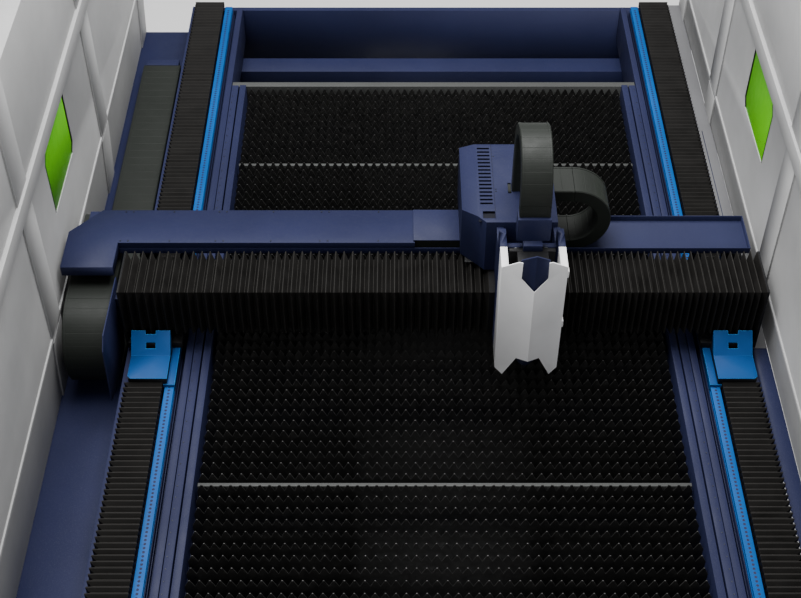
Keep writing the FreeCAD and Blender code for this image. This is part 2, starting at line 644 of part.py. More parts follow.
def y_servos():
    foot_top = FOOT_LEVEL + FOOT_THICK
    x = PINION_X
    gearbox = box((x - 40, x + 40), (PINION_Y - 40, PINION_Y + 40), (foot_top, foot_top + 50))
    gearbox = gearbox.cut(rod(12.05, (x, PINION_Y, foot_top - 1), 25))
    motor = rod(36, (x, PINION_Y, foot_top + 50), 95)
    save("y_servos", both_sides(join([gearbox, motor])))


# ---- bellows: plain closed solids of their outer shape ----
def bellows():
    inset = 0.5
    edge = BELLOWS_FRONT + BELLOWS_THICK
    ledge = BELLOWS_TOP - BELLOWS_THICK
    outline = [(BELLOWS_FRONT, BELLOWS_LOW), (edge, BELLOWS_LOW), (edge, ledge), (BELLOWS_BACK, ledge),
               (BELLOWS_BACK, BELLOWS_TOP), (BELLOWS_FRONT, BELLOWS_TOP)]
    save("x_bellows_left", side_profile(outline, (-GANTRY_HALF + inset, CARRIAGE_LEFT - inset)))
    save("x_bellows_right", side_profile(outline, (CARRIAGE_RIGHT + inset, GANTRY_HALF - inset)))
    x = (BELLOWS_IN, BELLOWS_OUT)
    z = (-4.0, 20.0)
    front = box(x, (BED_FRONT + inset, FOOT_FRONT - inset), z)
    rear = box(x, (FOOT_BACK + inset, BED_BACK - inset), z)
    save("y_bellows", both_sides(front) + both_sides(rear))


# ---- drag chains ----
def half_ring(outer, thick, centre, width, axis, keep):
    """Half of a ring that starts at its centre and runs along an axis, inside the keep block."""
    ring = rod(outer, centre, width, axis).cut(rod(outer - thick, centre, width, axis))
    return ring.common(keep)


def x_chain():
    y = (X_CHAIN_FRONT, X_CHAIN_BACK)
    reach = X_CHAIN_RADIUS + 10
    z = (X_CHAIN_LEVEL - reach, X_CHAIN_LEVEL + reach)
    centre = (X_CHAIN_LOOP_X, X_CHAIN_FRONT, X_CHAIN_LEVEL)
    keep = box((X_CHAIN_LOOP_X, X_CHAIN_LOOP_X + reach), y, z)
    save("x_chain_loop", half_ring(X_CHAIN_RADIUS, X_CHAIN_THICK, centre, X_CHAIN_WIDTH, (0, 1, 0), keep))
    lower = (X_CHAIN_LOW, X_CHAIN_LOW + X_CHAIN_THICK)
    upper = (X_CHAIN_TOP - X_CHAIN_THICK, X_CHAIN_TOP)
    save("x_chain_runs", [box((X_CHAIN_FIXED, X_CHAIN_LOOP_X), y, lower),
                          box((X_CHAIN_MOVING, X_CHAIN_LOOP_X), y, upper)])


def y_chain():
    x = (-CHAIN_OUT, -CHAIN_IN)
    reach = Y_CHAIN_RADIUS + 10
    z = (Y_CHAIN_LEVEL - reach, Y_CHAIN_LEVEL + reach)
    centre = (-CHAIN_OUT, Y_CHAIN_LOOP_Y, Y_CHAIN_LEVEL)
    keep = box(x, (Y_CHAIN_LOOP_Y - reach, Y_CHAIN_LOOP_Y), z)
    save("y_chain_loop", half_ring(Y_CHAIN_RADIUS, Y_CHAIN_THICK, centre, Y_CHAIN_WIDTH, (1, 0, 0), keep))
    lower = (Y_CHAIN_LOW, Y_CHAIN_LOW + Y_CHAIN_THICK)
    upper = (Y_CHAIN_TOP - Y_CHAIN_THICK, Y_CHAIN_TOP)
    save("y_chain_runs", [box(x, (Y_CHAIN_LOOP_Y, Y_CHAIN_FIXED), lower),
                          box(x, (Y_CHAIN_LOOP_Y, Y_CHAIN_MOVING), upper)])


def z_chain():
    x = (HEAD_X + 2 - Z_CHAIN_WIDTH / 2, HEAD_X + 2 + Z_CHAIN_WIDTH / 2)
    level = Z_CHAIN_LOOP_LEVEL
    reach = Z_CHAIN_RADIUS + 10
    centre = (x[0], Z_CHAIN_MIDDLE, level)
    keep = box(x, (Z_CHAIN_MIDDLE - reach, Z_CHAIN_MIDDLE + reach), (level, level + reach))
    save("z_chain_loop", half_ring(Z_CHAIN_RADIUS, Z_CHAIN_THICK, centre, Z_CHAIN_WIDTH, (1, 0, 0), keep))
    save("z_chain_runs", [box(x, (Z_CHAIN_FRONT, Z_CHAIN_FRONT + Z_CHAIN_THICK), (Z_BLOCK_TOP, level)),
                          box(x, (Z_CHAIN_BACK - Z_CHAIN_THICK, Z_CHAIN_BACK), (HOUSING_TOP, level))])


# ---- carriage ----
def carriage():
    """Plate that rides on the beam, with a riser for the housing and a wing for the drive."""
    x = (CARRIAGE_LEFT, CARRIAGE_RIGHT)
    front = box(x, (BELLOWS_FRONT, BELLOWS_FRONT + 20), (BELLOWS_LOW + 2, BELLOWS_TOP))
    top = box(x, (BELLOWS_FRONT, BELLOWS_BACK), (BELLOWS_TOP - 20, BELLOWS_TOP))
    riser = box((CARRIAGE_LEFT, CARRIAGE_RIGHT - 30), (HOUSING_FRONT + 4, BELLOWS_BACK - 4),
                (BELLOWS_TOP, HOUSING_LOW))
    drive = box((X_PINION_X - 45, CARRIAGE_LEFT + 60), (BELLOWS_BACK - 60, TRAY_FRONT - 3),
                (BELLOWS_TOP + 2, HOUSING_LOW))
    plate = join([front, top, riser, drive])
    save("carriage_plate", plate.cut(rod(11, (X_PINION_X, X_PINION_Y, BELLOWS_TOP - 30), 60)))


def carriage_blocks():
    """Slide blocks on the front rail and on the top rail of the beam."""
    beam_top = BEAM_LOW + BEAM_HEIGHT
    gap = 0.3
    front_y = (BELLOWS_FRONT + 20, BEAM_FRONT - 4)
    front_groove = (BEAM_FRONT - X_RAIL - gap, BEAM_FRONT)
    top_y = (BEAM_FRONT + 42, BEAM_FRONT + 88)
    top_groove = (BEAM_FRONT + 55 - gap, BEAM_FRONT + 75 + gap)
    blocks = []
    for x0 in (CARRIAGE_LEFT + 15, CARRIAGE_RIGHT - 85):
        x = (x0, x0 + 70)
        wide = (x0 - 1, x0 + 71)
        block = box(x, front_y, (BEAM_LOW + 10, BEAM_LOW + 50))
        blocks.append(block.cut(box(wide, front_groove, (BEAM_LOW + 20 - gap, BEAM_LOW + 40 + gap))))
        block = box(x, top_y, (beam_top + 4, BELLOWS_TOP - 20))
        blocks.append(block.cut(box(wide, top_groove, (beam_top, beam_top + X_RAIL + gap))))
    save("x_slide_blocks", blocks)


def carriage_servos():
    x = X_PINION_X
    y = X_PINION_Y
    gearbox = box((x - 36, x + 36), (y - 32, y + 30), (HOUSING_LOW, HOUSING_LOW + 45))
    gearbox = gearbox.cut(rod(8.05, (x, y, HOUSING_LOW - 1), 24))
    motor = rod(29, (x, y, HOUSING_LOW + 45), 110)
    z_motor = box((HEAD_X - 40, HEAD_X + 40), (HOUSING_FRONT + 6, BELLOWS_BACK - 6),
                  (HOUSING_LOW, HOUSING_LOW + 150))
    save("carriage_servos", [join([gearbox, motor]), z_motor])


def z_frame():
    """Back plate and two cheeks that carry the head slide, stayed back to the housing."""
    half = COVER_WIDTH / 2
    low = BELLOWS_LOW + 2
    top = 540.0
    front = BELLOWS_FRONT - 58
    back = BELLOWS_FRONT + 22
    plate_top = SLIDE_TOP
    solids = [box((HEAD_X - half + CHEEK, HEAD_X + half - CHEEK), (BELLOWS_FRONT - 20, BELLOWS_FRONT),
                  (low, plate_top))]
    for x0 in (HEAD_X - half, HEAD_X + half - CHEEK):
        x = (x0, x0 + CHEEK)
        solids.append(box(x, (front, BELLOWS_FRONT), (low, top)))
        solids.append(box(x, (BELLOWS_FRONT, back), (BELLOWS_TOP + 3, top)))
        solids.append(box(x, (back, HOUSING_FRONT), (HOUSING_LOW + 10, HOUSING_TOP - 20)))
    y = (BELLOWS_FRONT - 50, BELLOWS_FRONT - 20)
    screw = (HEAD_X, BELLOWS_FRONT - 36, low + 18)
    bearing = box((HEAD_X - 22, HEAD_X + 22), y, (low, low + 18))
    upper = box((HEAD_X - 22, HEAD_X + 22), y, (low + 398, low + 414))
    save("z_frame", solids + [bearing, upper])

    rails = []
    for dx in (-45, 45):
        rails.append(box((HEAD_X + dx - 7, HEAD_X + dx + 7), (BELLOWS_FRONT - 32, BELLOWS_FRONT - 20),
                         (low, plate_top)))
    save("z_guides", rails + [rod(8, screw, 380)])


def housing_block(inset, z):
    """The housing outline, drawn in by an inset, with its top left edge sloped off."""
    left = HOUSING_LEFT + inset
    front = HOUSING_FRONT + inset
    right = HOUSING_RIGHT - inset
    back = HOUSING_BACK - inset
    outline = [(left, back), (left, HOUSING_FRONT + 78),
               (HOUSING_LEFT + 54 + inset, HOUSING_FRONT + 24 + inset),
               (HOUSING_LEFT + 76 + inset, front), (right, front), (right, back)]
    top = HOUSING_TOP - inset
    slope = [(HOUSING_LEFT - 1, top + 1), (HOUSING_LEFT - 1, top - 16),
             (HOUSING_LEFT + HOUSING_FACET, top + 1)]
    return plan(outline, z).cut(front_profile(slope, (HOUSING_FRONT - 60, HOUSING_BACK + 1)))


def housing():
    """Louvred sheet housing, open below and at the right for the drag chain."""
    t = HOUSING_SHEET
    shell = housing_block(0, (HOUSING_LOW, HOUSING_TOP))
    shell = shell.cut(housing_block(t, (HOUSING_LOW - 1, HOUSING_TOP - t)))
    shell = shell.cut(box((HOUSING_RIGHT - 10, HOUSING_RIGHT + 1), (X_CHAIN_FRONT - 8, X_CHAIN_BACK + 8),
                          (HOUSING_LOW - 1, HOUSING_TOP - t)))
    z = (HOUSING_TOP - 10, HOUSING_TOP + 1)
    cuts = [box((HEAD_X - 145, HEAD_X - 106), (HOUSING_FRONT + 20, HOUSING_FRONT + 54), z),
            box((HEAD_X - 58, HEAD_X - 47), (TRAY_FRONT + 3, TRAY_FRONT + 55), z)]
    for i in range(16):
        y0 = HOUSING_FRONT + 92 + i * 18.7
        cuts.append(box((HEAD_X - 152, HEAD_X - 111), (y0 - 4, y0 + 4), z))
    shell = shell.cut(cuts[0].multiFuse(cuts[1:]))
    bracket = box((X_CHAIN_MOVING - 6, X_CHAIN_MOVING), (X_CHAIN_FRONT + 10, X_CHAIN_BACK - 10),
                  (HOUSING_TOP - 50, HOUSING_TOP - t))
    apron = box((X_CHAIN_FIXED - 5, HOUSING_LEFT + 90), (TRAY_FRONT + 5, TRAY_BACK - 5),
                (HOUSING_LOW - 3, HOUSING_LOW))
    save("carriage_housing", [join([shell, bracket]), apron])


# ---- cutting head ----
def head():
    """Slide plate with its blocks and screw nut, the head body and the nozzle."""
    y = (BELLOWS_FRONT - 62, BELLOWS_FRONT - 46)
    screw_y = BELLOWS_FRONT - 36
    plate = box((HEAD_X - 72, HEAD_X + 72), y, (170, 520))
    for z in ((160, 300), (340, 530)):
        plate = plate.cut(box((HEAD_X - 22.5, HEAD_X + 22.5), (screw_y - 14.5, y[1] + 6), z))
    nut = box((HEAD_X - 20, HEAD_X + 20), (screw_y - 14, BELLOWS_FRONT - 24), (300, 340))
    pieces = [plate, nut.cut(rod(8.05, (HEAD_X, screw_y, 290), 60))]
    for dx in (-45, 45):
        middle = HEAD_X + dx
        groove = box((middle - 7.3, middle + 7.3), (BELLOWS_FRONT - 32.3, BELLOWS_FRONT - 20), (189, 461))
        for z0 in (190.0, 400.0):
            block = box((middle - 18, middle + 18), (y[1], BELLOWS_FRONT - 22), (z0, z0 + 60))
            pieces.append(block.cut(groove))
    save("z_slide", join(pieces))

    body = box((HEAD_X - 48, HEAD_X + 48), (NOZZLE_Y - 40, y[0]), (170, 520))
    save("head_body", join([body, rod(20, (HEAD_X, NOZZLE_Y, 110), 60)]))
    cone = Part.makeCone(13, 20, 50, Vector(HEAD_X, NOZZLE_Y, 60), Vector(0, 0, 1))
    tip = Part.makeCone(5, 12, 40, Vector(HEAD_X, NOZZLE_Y, NOZZLE_TIP), Vector(0, 0, 1))
    save("nozzle", [cone, tip.cut(rod(1.5, (HEAD_X, NOZZLE_Y, NOZZLE_TIP - 1), 42))])

    middle = HEAD_X + 2
    block_y = (Z_CHAIN_FRONT - 10, Z_CHAIN_FRONT + Z_CHAIN_THICK)
    block = box((middle - 52, middle + 52), block_y, (543, Z_BLOCK_TOP))
    foot = box((HEAD_X - 30, HEAD_X + 30), (y[0], block_y[1] - 12), (520, 543))
    save("z_chain_bracket", join([block, foot]))


def head_front():
    """Folded cover with its latches, and the dark inner shroud with its collar."""
    half = COVER_WIDTH / 2
    latches = []
    for z0 in (490.0, 270.0):
        latches.append(box((HEAD_X + half, HEAD_X + half + 5), (COVER_FRONT + 4, COVER_FRONT + 24),
                           (z0, z0 + 26)))
    save("head_cover", [head_cover(half)] + latches)

    wing = 44.0
    ridge = COVER_FRONT - RIDGE_DEPTH + 12
    fold = ridge + wing * RIDGE_DEPTH / half
    outline = [(HEAD_X - wing, fold), (HEAD_X, ridge), (HEAD_X + wing, fold),
               (HEAD_X + wing, fold + 4), (HEAD_X, ridge + 4), (HEAD_X - wing, fold + 4)]
    roof = [(HEAD_X - wing - 2, 574), (HEAD_X, 606), (HEAD_X + wing + 2, 574), (HEAD_X + wing + 2, 700),
            (HEAD_X - wing - 2, 700)]
    sheet = plan(outline, (200, 606)).cut(front_profile(roof, (ridge - 50, fold + 50)))
    stays = []
    for z in ((230, 250), (480, 500)):
        for x in ((HEAD_X - wing, HEAD_X - wing + 4), (HEAD_X + wing - 4, HEAD_X + wing)):
            stays.append(box(x, (fold + 3, NOZZLE_Y - 40), z))
    collar = Part.makeCone(22, 48, 50, Vector(HEAD_X, NOZZLE_Y, 62), Vector(0, 0, 1))
    collar = collar.fuse(rod(48, (HEAD_X, NOZZLE_Y, 112), 58))
    hollow = Part.makeCone(20.5, 20.5 + 0.1, 112, Vector(HEAD_X, NOZZLE_Y, 60), Vector(0, 0, 1))
    save("head_shroud", [join([sheet] + stays), collar.cut(hollow)])


def head_cover(half):
    """Folded cover: two facets meeting at a ridge, and a boxed cheek on each side."""
    t = 2.5
    ridge = COVER_FRONT - RIDGE_DEPTH
    outer = [(HEAD_X - half, COVER_FRONT), (HEAD_X, ridge), (HEAD_X + half, COVER_FRONT),
             (HEAD_X + half, COVER_FRONT + 3), (HEAD_X, ridge + t + 0.2), (HEAD_X - half, COVER_FRONT + 3)]
    facets = plan(outer, (50, 600))
    front = [(-half, 82), (-77, 58), (-37, 152), (0, 149), (37, 152), (77, 58), (half, 82), (half, 538),
             (51, 576), (40, 577), (41, 510), (0, 466), (-41, 510), (-40, 577), (-51, 576), (-half, 538)]
    outline = front_profile([(HEAD_X + px, z) for px, z in front], (ridge - 10, COVER_FRONT + 20))
    facets = facets.common(outline)
    cheek_y = (COVER_FRONT + 2.9, BELLOWS_FRONT - 60)
    cheeks = []
    for x0 in (HEAD_X - half, HEAD_X + half - CHEEK):
        cheek = box((x0, x0 + CHEEK), cheek_y, (82, 538))
        cheek = cheek.cut(box((x0 + t, x0 + CHEEK - t), (cheek_y[0] + t, cheek_y[1] + 1), (82 + t, 538 - t)))
        cheeks.append(cheek)
    bridge = box((HEAD_X - half + CHEEK - 1, HEAD_X - 48), (NOZZLE_Y - 20, NOZZLE_Y), (230, 250))
    bridge_right = box((HEAD_X + 48, HEAD_X + half - CHEEK + 1), (NOZZLE_Y - 20, NOZZLE_Y), (230, 250))
    return join([facets, bridge, bridge_right] + cheeks)


# ---- pinions ----
def gear(module, teeth, centre, z, shaft, facing):
    """A straight-toothed pinion on its shaft, with a tooth space at the facing angle."""
    pitch_radius = module * teeth / 2
    root = pitch_radius - 1.25 * module - 0.2
    tip = pitch_radius + 0.85 * module
    step = 2 * math.pi / teeth
    outline = []
    for i in range(teeth):
        mid = facing + i * step + step / 2
        for radius, share in ((root, -0.34), (tip, -0.11), (tip, 0.11), (root, 0.34)):
            angle = mid + share * step
            outline.append((centre[0] + radius * math.cos(angle), centre[1] + radius * math.sin(angle)))
    body = plan(outline, z)
    return join([body, rod(shaft[0], (centre[0], centre[1], z[1]), shaft[1])])


def pinions():
    right = gear(RACK_MODULE, PINION_TEETH, (PINION_X, PINION_Y), (-48, -26), (12, 86), math.pi)
    save("y_pinion_right", right)
    save("y_pinion_left", mirror(right))
    beam_top = BEAM_LOW + BEAM_HEIGHT
    centre = (X_PINION_X, X_PINION_Y)
    z = (beam_top, beam_top + 16)
    save("x_pinion", gear(X_RACK_MODULE, X_PINION_TEETH, centre, z, (8, 60), -math.pi / 2))


def main():
    os.makedirs("parts", exist_ok=True)
    bed()
    guides()
    side_covers()
    trough()
    table()
    chutes()
    walls()
    gantry_frame()
    tray()
    y_servos()
    bellows()
    x_chain()
    y_chain()
    z_chain()
    carriage()
    carriage_blocks()
    carriage_servos()
    z_frame()
    housing()
    head()
    head_front()
    pinions()


main()
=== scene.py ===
import json
import math
import random

import bmesh
import bpy
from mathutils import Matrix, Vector

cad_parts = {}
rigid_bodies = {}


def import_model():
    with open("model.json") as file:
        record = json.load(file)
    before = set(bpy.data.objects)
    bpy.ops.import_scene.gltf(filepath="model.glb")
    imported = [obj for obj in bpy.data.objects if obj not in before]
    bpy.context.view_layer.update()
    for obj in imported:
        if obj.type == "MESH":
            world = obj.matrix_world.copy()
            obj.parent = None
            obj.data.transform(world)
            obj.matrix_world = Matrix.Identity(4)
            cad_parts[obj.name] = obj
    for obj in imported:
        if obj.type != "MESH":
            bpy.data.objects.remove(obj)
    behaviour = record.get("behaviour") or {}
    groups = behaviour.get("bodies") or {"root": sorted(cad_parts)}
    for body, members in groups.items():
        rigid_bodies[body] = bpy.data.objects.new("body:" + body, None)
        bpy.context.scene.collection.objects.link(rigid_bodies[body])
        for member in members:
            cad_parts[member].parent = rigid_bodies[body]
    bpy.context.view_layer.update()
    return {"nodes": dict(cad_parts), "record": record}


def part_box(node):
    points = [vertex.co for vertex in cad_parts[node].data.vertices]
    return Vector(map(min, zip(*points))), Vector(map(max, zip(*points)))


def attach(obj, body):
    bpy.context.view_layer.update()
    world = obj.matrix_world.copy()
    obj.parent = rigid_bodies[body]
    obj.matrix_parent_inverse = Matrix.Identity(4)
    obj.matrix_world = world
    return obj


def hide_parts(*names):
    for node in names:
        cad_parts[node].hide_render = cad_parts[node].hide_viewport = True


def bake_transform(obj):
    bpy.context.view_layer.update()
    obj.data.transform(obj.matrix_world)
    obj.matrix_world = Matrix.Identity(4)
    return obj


for leftover in list(bpy.data.objects):
    bpy.data.objects.remove(leftover)
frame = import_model()
MM = 0.001
AXES = (Vector((1, 0, 0)), Vector((0, 1, 0)), Vector((0, 0, 1)))
rng = random.Random(7)


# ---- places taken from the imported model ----
def low(node):
    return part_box(node)[0]


def high(node):
    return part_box(node)[1]


def middle(node):
    return (low(node) + high(node)) / 2


RAIL_TOP = high("y_rails").z

# ---- camera, at the height and angle of an overhead walkway ----
TABLE = middle("table_sides")
CAMERA_BACK = 3.405
CAMERA_LEFT = 0.139
CAMERA_UP = 3.44
CAMERA_PITCH = math.radians(45.4)
camera_data = bpy.data.cameras.new("camera")
camera_data.lens = 61.4
camera_data.sensor_width = 36.0
camera_data.clip_end = 60.0
camera = bpy.data.objects.new("camera", camera_data)
bpy.context.scene.collection.objects.link(camera)
camera.location = (TABLE.x - CAMERA_LEFT, TABLE.y - CAMERA_BACK, high("y_rails").z + CAMERA_UP)
camera.rotation_euler = (math.pi / 2 - CAMERA_PITCH, 0, 0)
bpy.context.scene.camera = camera


# ---- materials ----
def linear(rgb):
    """Display values from 0 to 255, as linear light from 0 to 1."""
    values = [v / 255 for v in rgb]
    return tuple(c / 12.92 if c <= 0.04045 else ((c + 0.055) / 1.055) ** 2.4 for c in values)


def shade(rgb, k=1.0):
    """A colour for a shader socket, made darker or lighter by k."""
    return tuple(min(1.0, c * k) for c in linear(rgb)) + (1.0,)


class Finish:
    """A node material: a Principled shader with a few helpers to hang noise on it."""

    def __init__(self, name):
        self.material = bpy.data.materials.new(name)
        self.material.use_nodes = True
        self.tree = self.material.node_tree
        self.shader = self.tree.nodes["Principled BSDF"]
        self.place = self.tree.nodes.new("ShaderNodeTexCoord").outputs["Object"]

    def add(self, kind, **values):
        node = self.tree.nodes.new(kind)
        for key, value in values.items():
            if key in node.inputs:
                node.inputs[key].default_value = value
            else:
                setattr(node, key, value)
        return node

    def link(self, a, b):
        self.tree.links.new(a, b)

    def stretched(self, scale):
        mapping = self.add("ShaderNodeMapping")
        mapping.inputs["Scale"].default_value = scale
        self.link(self.place, mapping.inputs["Vector"])
        return mapping.outputs["Vector"]

    def noise(self, scale, detail=4.0, stretch=(1, 1, 1), roughness=0.55):
        node = self.add("ShaderNodeTexNoise", Scale=scale, Detail=detail, Roughness=roughness)
        self.link(self.stretched(stretch), node.inputs["Vector"])
        return node.outputs["Fac"]

    def ramp(self, value, stops):
        node = self.add("ShaderNodeValToRGB")
        elements = node.color_ramp.elements
        while len(elements) < len(stops):
            elements.new(0.5)
        for element, (place, colour) in zip(elements, stops):
            element.position = place
            element.color = colour if len(colour) == 4 else tuple(colour) + (1.0,)
        self.link(value, node.inputs["Fac"])
        return node.outputs["Color"]

    def scaled(self, value, low_out, high_out, low_in=0.3, high_in=0.7):
        node = self.add("ShaderNodeMapRange")
        node.inputs["From Min"].default_value = low_in
        node.inputs["From Max"].default_value = high_in
        node.inputs["To Min"].default_value = low_out
        node.inputs["To Max"].default_value = high_out
        self.link(value, node.inputs["Value"])
        return node.outputs["Result"]

    def mix(self, a, b, factor):
        node = self.add("ShaderNodeMix", data_type="RGBA")
        for socket, value in ((node.inputs[6], a), (node.inputs[7], b)):
            if hasattr(value, "links"):
                self.link(value, socket)
            else:
                socket.default_value = value
        if hasattr(factor, "links"):
            self.link(factor, node.inputs[0])
        else:
            node.inputs[0].default_value = factor
        return node.outputs[2]

    def edge_mask(self, radius):
        """1 along the edges of the piece, 0 on its flat faces."""
        bevel = self.add("ShaderNodeBevel", samples=4)
        bevel.inputs["Radius"].default_value = radius
        geometry = self.add("ShaderNodeNewGeometry")
        dot = self.add("ShaderNodeVectorMath", operation="DOT_PRODUCT")
        self.link(bevel.outputs["Normal"], dot.inputs[0])
        self.link(geometry.outputs["Normal"], dot.inputs[1])
        return self.scaled(dot.outputs["Value"], 1.0, 0.0, 0.72, 0.97)

    def bump(self, height, strength, distance):
        node = self.add("ShaderNodeBump")
        node.inputs["Strength"].default_value = strength
        node.inputs["Distance"].default_value = distance
        self.link(height, node.inputs["Height"])
        self.link(node.outputs["Normal"], self.shader.inputs["Normal"])


def paint(name, rgb, roughness=0.38, edge_highlight_rgb=None, edge_radius=1.6 * MM, dust=0.05, gloss=0.14):
    """Powder coat: a fine orange peel, faint dust and clouding, with a painted highlight that makes its edges
    lighter.
    """
    f = Finish(name)
    cloud = f.noise(2.3, 5.0)
    colour = f.ramp(cloud, [(0.3, shade(rgb, 0.86)), (0.72, shade(rgb, 1.12))])
    speck = f.scaled(f.noise(420.0, 2.0), 0.0, dust, 0.52, 0.8)
    colour = f.mix(colour, shade((170, 172, 176)), speck)
    # Painted highlight: the edge colour, lighter than the paint, is mixed in along the edges.
    edge = edge_highlight_rgb or tuple(min(255, 24 + c * 1.2) for c in rgb)
    colour = f.mix(colour, shade(edge), f.edge_mask(edge_radius))
    f.link(colour, f.shader.inputs["Base Color"])
    f.link(f.scaled(f.noise(9.0, 6.0), roughness - 0.06, roughness + 0.1), f.shader.inputs["Roughness"])
    f.shader.inputs["Specular IOR Level"].default_value = gloss
    f.bump(f.noise(900.0, 2.0), 0.12, 0.0004)
    return f.material


def brushed(name, rgb, roughness=0.32):
    """Brushed steel: a long grain that varies in colour and gloss."""
    f = Finish(name)
    grain = f.noise(160.0, 6.0, (1, 30, 1))
    colour = f.ramp(grain, [(0.25, shade(rgb, 0.6)), (0.75, shade(rgb, 1.15))])
    f.link(colour, f.shader.inputs["Base Color"])
    f.shader.inputs["Metallic"].default_value = 1.0
    f.link(f.scaled(grain, roughness - 0.08, roughness + 0.12), f.shader.inputs["Roughness"])
    f.bump(grain, 0.15, 0.0003)
    return f.material


def cloth(name, rgb, crest_highlight_rgb):
    """Coated bellows cloth: fine weave, dust that settles in streaks, and a painted highlight on the folds.
    """
    f = Finish(name)
    cloud = f.noise(14.0, 5.0)
    colour = f.ramp(cloud, [(0.28, shade(rgb, 0.7)), (0.75, shade(rgb, 1.35))])
    # Painted highlight: the crest colour is mixed in along the fold crests.
    colour = f.mix(colour, shade(crest_highlight_rgb), f.edge_mask(2.5 * MM))
    f.link(colour, f.shader.inputs["Base Color"])
    f.link(f.scaled(cloud, 0.55, 0.72), f.shader.inputs["Roughness"])
    f.shader.inputs["Specular IOR Level"].default_value = 0.12
    f.bump(f.noise(1500.0, 2.0), 0.25, 0.0003)
    return f.material


def moulded(name, rgb, roughness=0.42, spread=0.15):
    """Moulded plastic: faint flow clouding and a fine spark-eroded texture."""
    f = Finish(name)
    cloud = f.noise(6.0, 5.0)
    colour = f.ramp(cloud, [(0.3, shade(rgb, 1 - spread)), (0.7, shade(rgb, 1 + spread))])
    f.link(colour, f.shader.inputs["Base Color"])
    f.link(f.scaled(f.noise(30.0, 4.0), roughness - 0.07, roughness + 0.09), f.shader.inputs["Roughness"])
    f.shader.inputs["Specular IOR Level"].default_value = 0.2
    f.bump(f.noise(1300.0, 2.0), 0.15, 0.0003)
    return f.material


def slat_steel(name):
    """Laser-cut slats: blackened plate, clouded between two dark greys."""
    f = Finish(name)
    cloud = f.noise(35.0, 6.0)
    colour = f.ramp(cloud, [(0.3, shade((28, 28, 28))), (0.8, shade((54, 53, 52)))])
    f.link(colour, f.shader.inputs["Base Color"])
    f.shader.inputs["Metallic"].default_value = 0.35
    f.link(f.scaled(f.noise(60.0, 5.0), 0.42, 0.7), f.shader.inputs["Roughness"])
    f.bump(f.noise(380.0, 4.0), 0.3, 0.0005)
    return f.material


NAVY = (32, 36, 65)
# The lighter edge colours that paint gives each piece are painted highlights along its edges.
LOOK = {
    "navy_paint": paint("navy_paint", NAVY, 0.5),
    "wall_paint": paint("wall_paint", (172, 172, 172), 0.55, (232, 232, 232), 2.4 * MM, dust=0.05),
    "window_green": moulded("window_green", (98, 196, 10), 0.45, 0.05),
    "rail_blue": paint("rail_blue", (4, 78, 146), 0.5, (30, 150, 220), 1.8 * MM, dust=0.0),
    "bracket_blue": paint("bracket_blue", (8, 66, 124), 0.5, (60, 180, 250), 2.4 * MM, dust=0.0),
    "steel": brushed("steel", (118, 120, 124)),
    "slat_steel": slat_steel("slat_steel"),
    "black_paint": paint("black_paint", (20, 20, 22), 0.5, (52, 52, 56)),
    # The bellows cloth's second colour is a painted highlight on the fold crests.
    "bellows_cloth": cloth("bellows_cloth", (26, 25, 24), (46, 44, 42)),
    "chain_plastic": moulded("chain_plastic", (33, 36, 33), 0.5, 0.08),
    "cover_silver": paint("cover_silver", (238, 238, 239), 0.42, (255, 255, 255), dust=0.02),
    "grey_paint": paint("grey_paint", (70, 71, 70), 0.5),
    "nozzle_steel": brushed("nozzle_steel", (120, 118, 114), 0.3),
    "motor_black": moulded("motor_black", (24, 24, 26), 0.35),
    "foot_iron": paint("foot_iron", (70, 70, 72), 0.6),
}
# Dark navy for the housing seam, a dark joint, and for the painted shade plate behind the louvres.
SEAM_AND_SHADE_NAVY = paint("navy_seam_and_shade", (14, 15, 26), 0.6, (22, 24, 40))
STRIP = paint("strip_paint", (108, 108, 110), 0.55, (165, 165, 166), dust=0.05)
RUBBER = moulded("gasket_rubber", (18, 18, 18), 0.5)
SCREW = brushed("screw_steel", (60, 62, 70), 0.4)
PLAIN_EDGES = {"slats", "y_racks", "x_rack", "nozzle"}
SLOT_OF = {part["node"]: part["material_slot"] for part in frame["record"]["subparts"]}


def dress_cad():
    """Gives each CAD node its material and small rounded edges."""
    for name, obj in frame["nodes"].items():
        obj.data.materials.clear()
        obj.data.materials.append(LOOK[SLOT_OF[name]])
        if name == "right_side_covers":
            obj.data.materials.append(STRIP)
            for polygon in obj.data.polygons:
                if polygon.center.z > RAIL_TOP + 0.4 * MM:
                    polygon.material_index = 1
        if name in PLAIN_EDGES:
            continue
        for polygon in obj.data.polygons:
            polygon.use_smooth = True
        weld = obj.modifiers.new("weld", "WELD")
        weld.merge_threshold = 0.02 * MM
        edge = obj.modifiers.new("edge", "BEVEL")
        edge.width = 0.8 * MM
        edge.segments = 2
        edge.limit_method = "ANGLE"
        edge.angle_limit = math.radians(35)
        edge.harden_normals = True
        edge.use_clamp_overlap = True


# ---- mesh helpers ----
def mesh_piece(name, verts, faces, material, body=None):
    """A flat-shaded mesh. A material given by its slot's name is taken from LOOK."""
    mesh = bpy.data.meshes.new(name)
    mesh.from_pydata([tuple(v) for v in verts], [], faces)
    mesh.materials.append(LOOK[material] if isinstance(material, str) else material)
    mesh.update()
    obj = bpy.data.objects.new(name, mesh)
    bpy.context.scene.collection.objects.link(obj)
    if body:
        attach(obj, body)
    return obj


def turned(profile, centre, sides):
    """A turned shape about a vertical axis: profile is (radius, height) from the bottom up."""
    verts, faces = [], []
    for radius, height in profile:
        for i in range(sides):
            a = 2 * math.pi * i / sides
            x, y = centre[0] + radius * math.cos(a), centre[1] + radius * math.sin(a)
            verts.append((x, y, centre[2] + height))
    for ring in range(len(profile) - 1):
        for i in range(sides):
            j = (i + 1) % sides
            a, b = ring * sides, (ring + 1) * sides
            faces.append((a + i, a + j, b + j, b + i))
    faces.append(tuple(range(sides))[::-1])
    faces.append(tuple(range((len(profile) - 1) * sides, len(profile) * sides)))
    return verts, faces


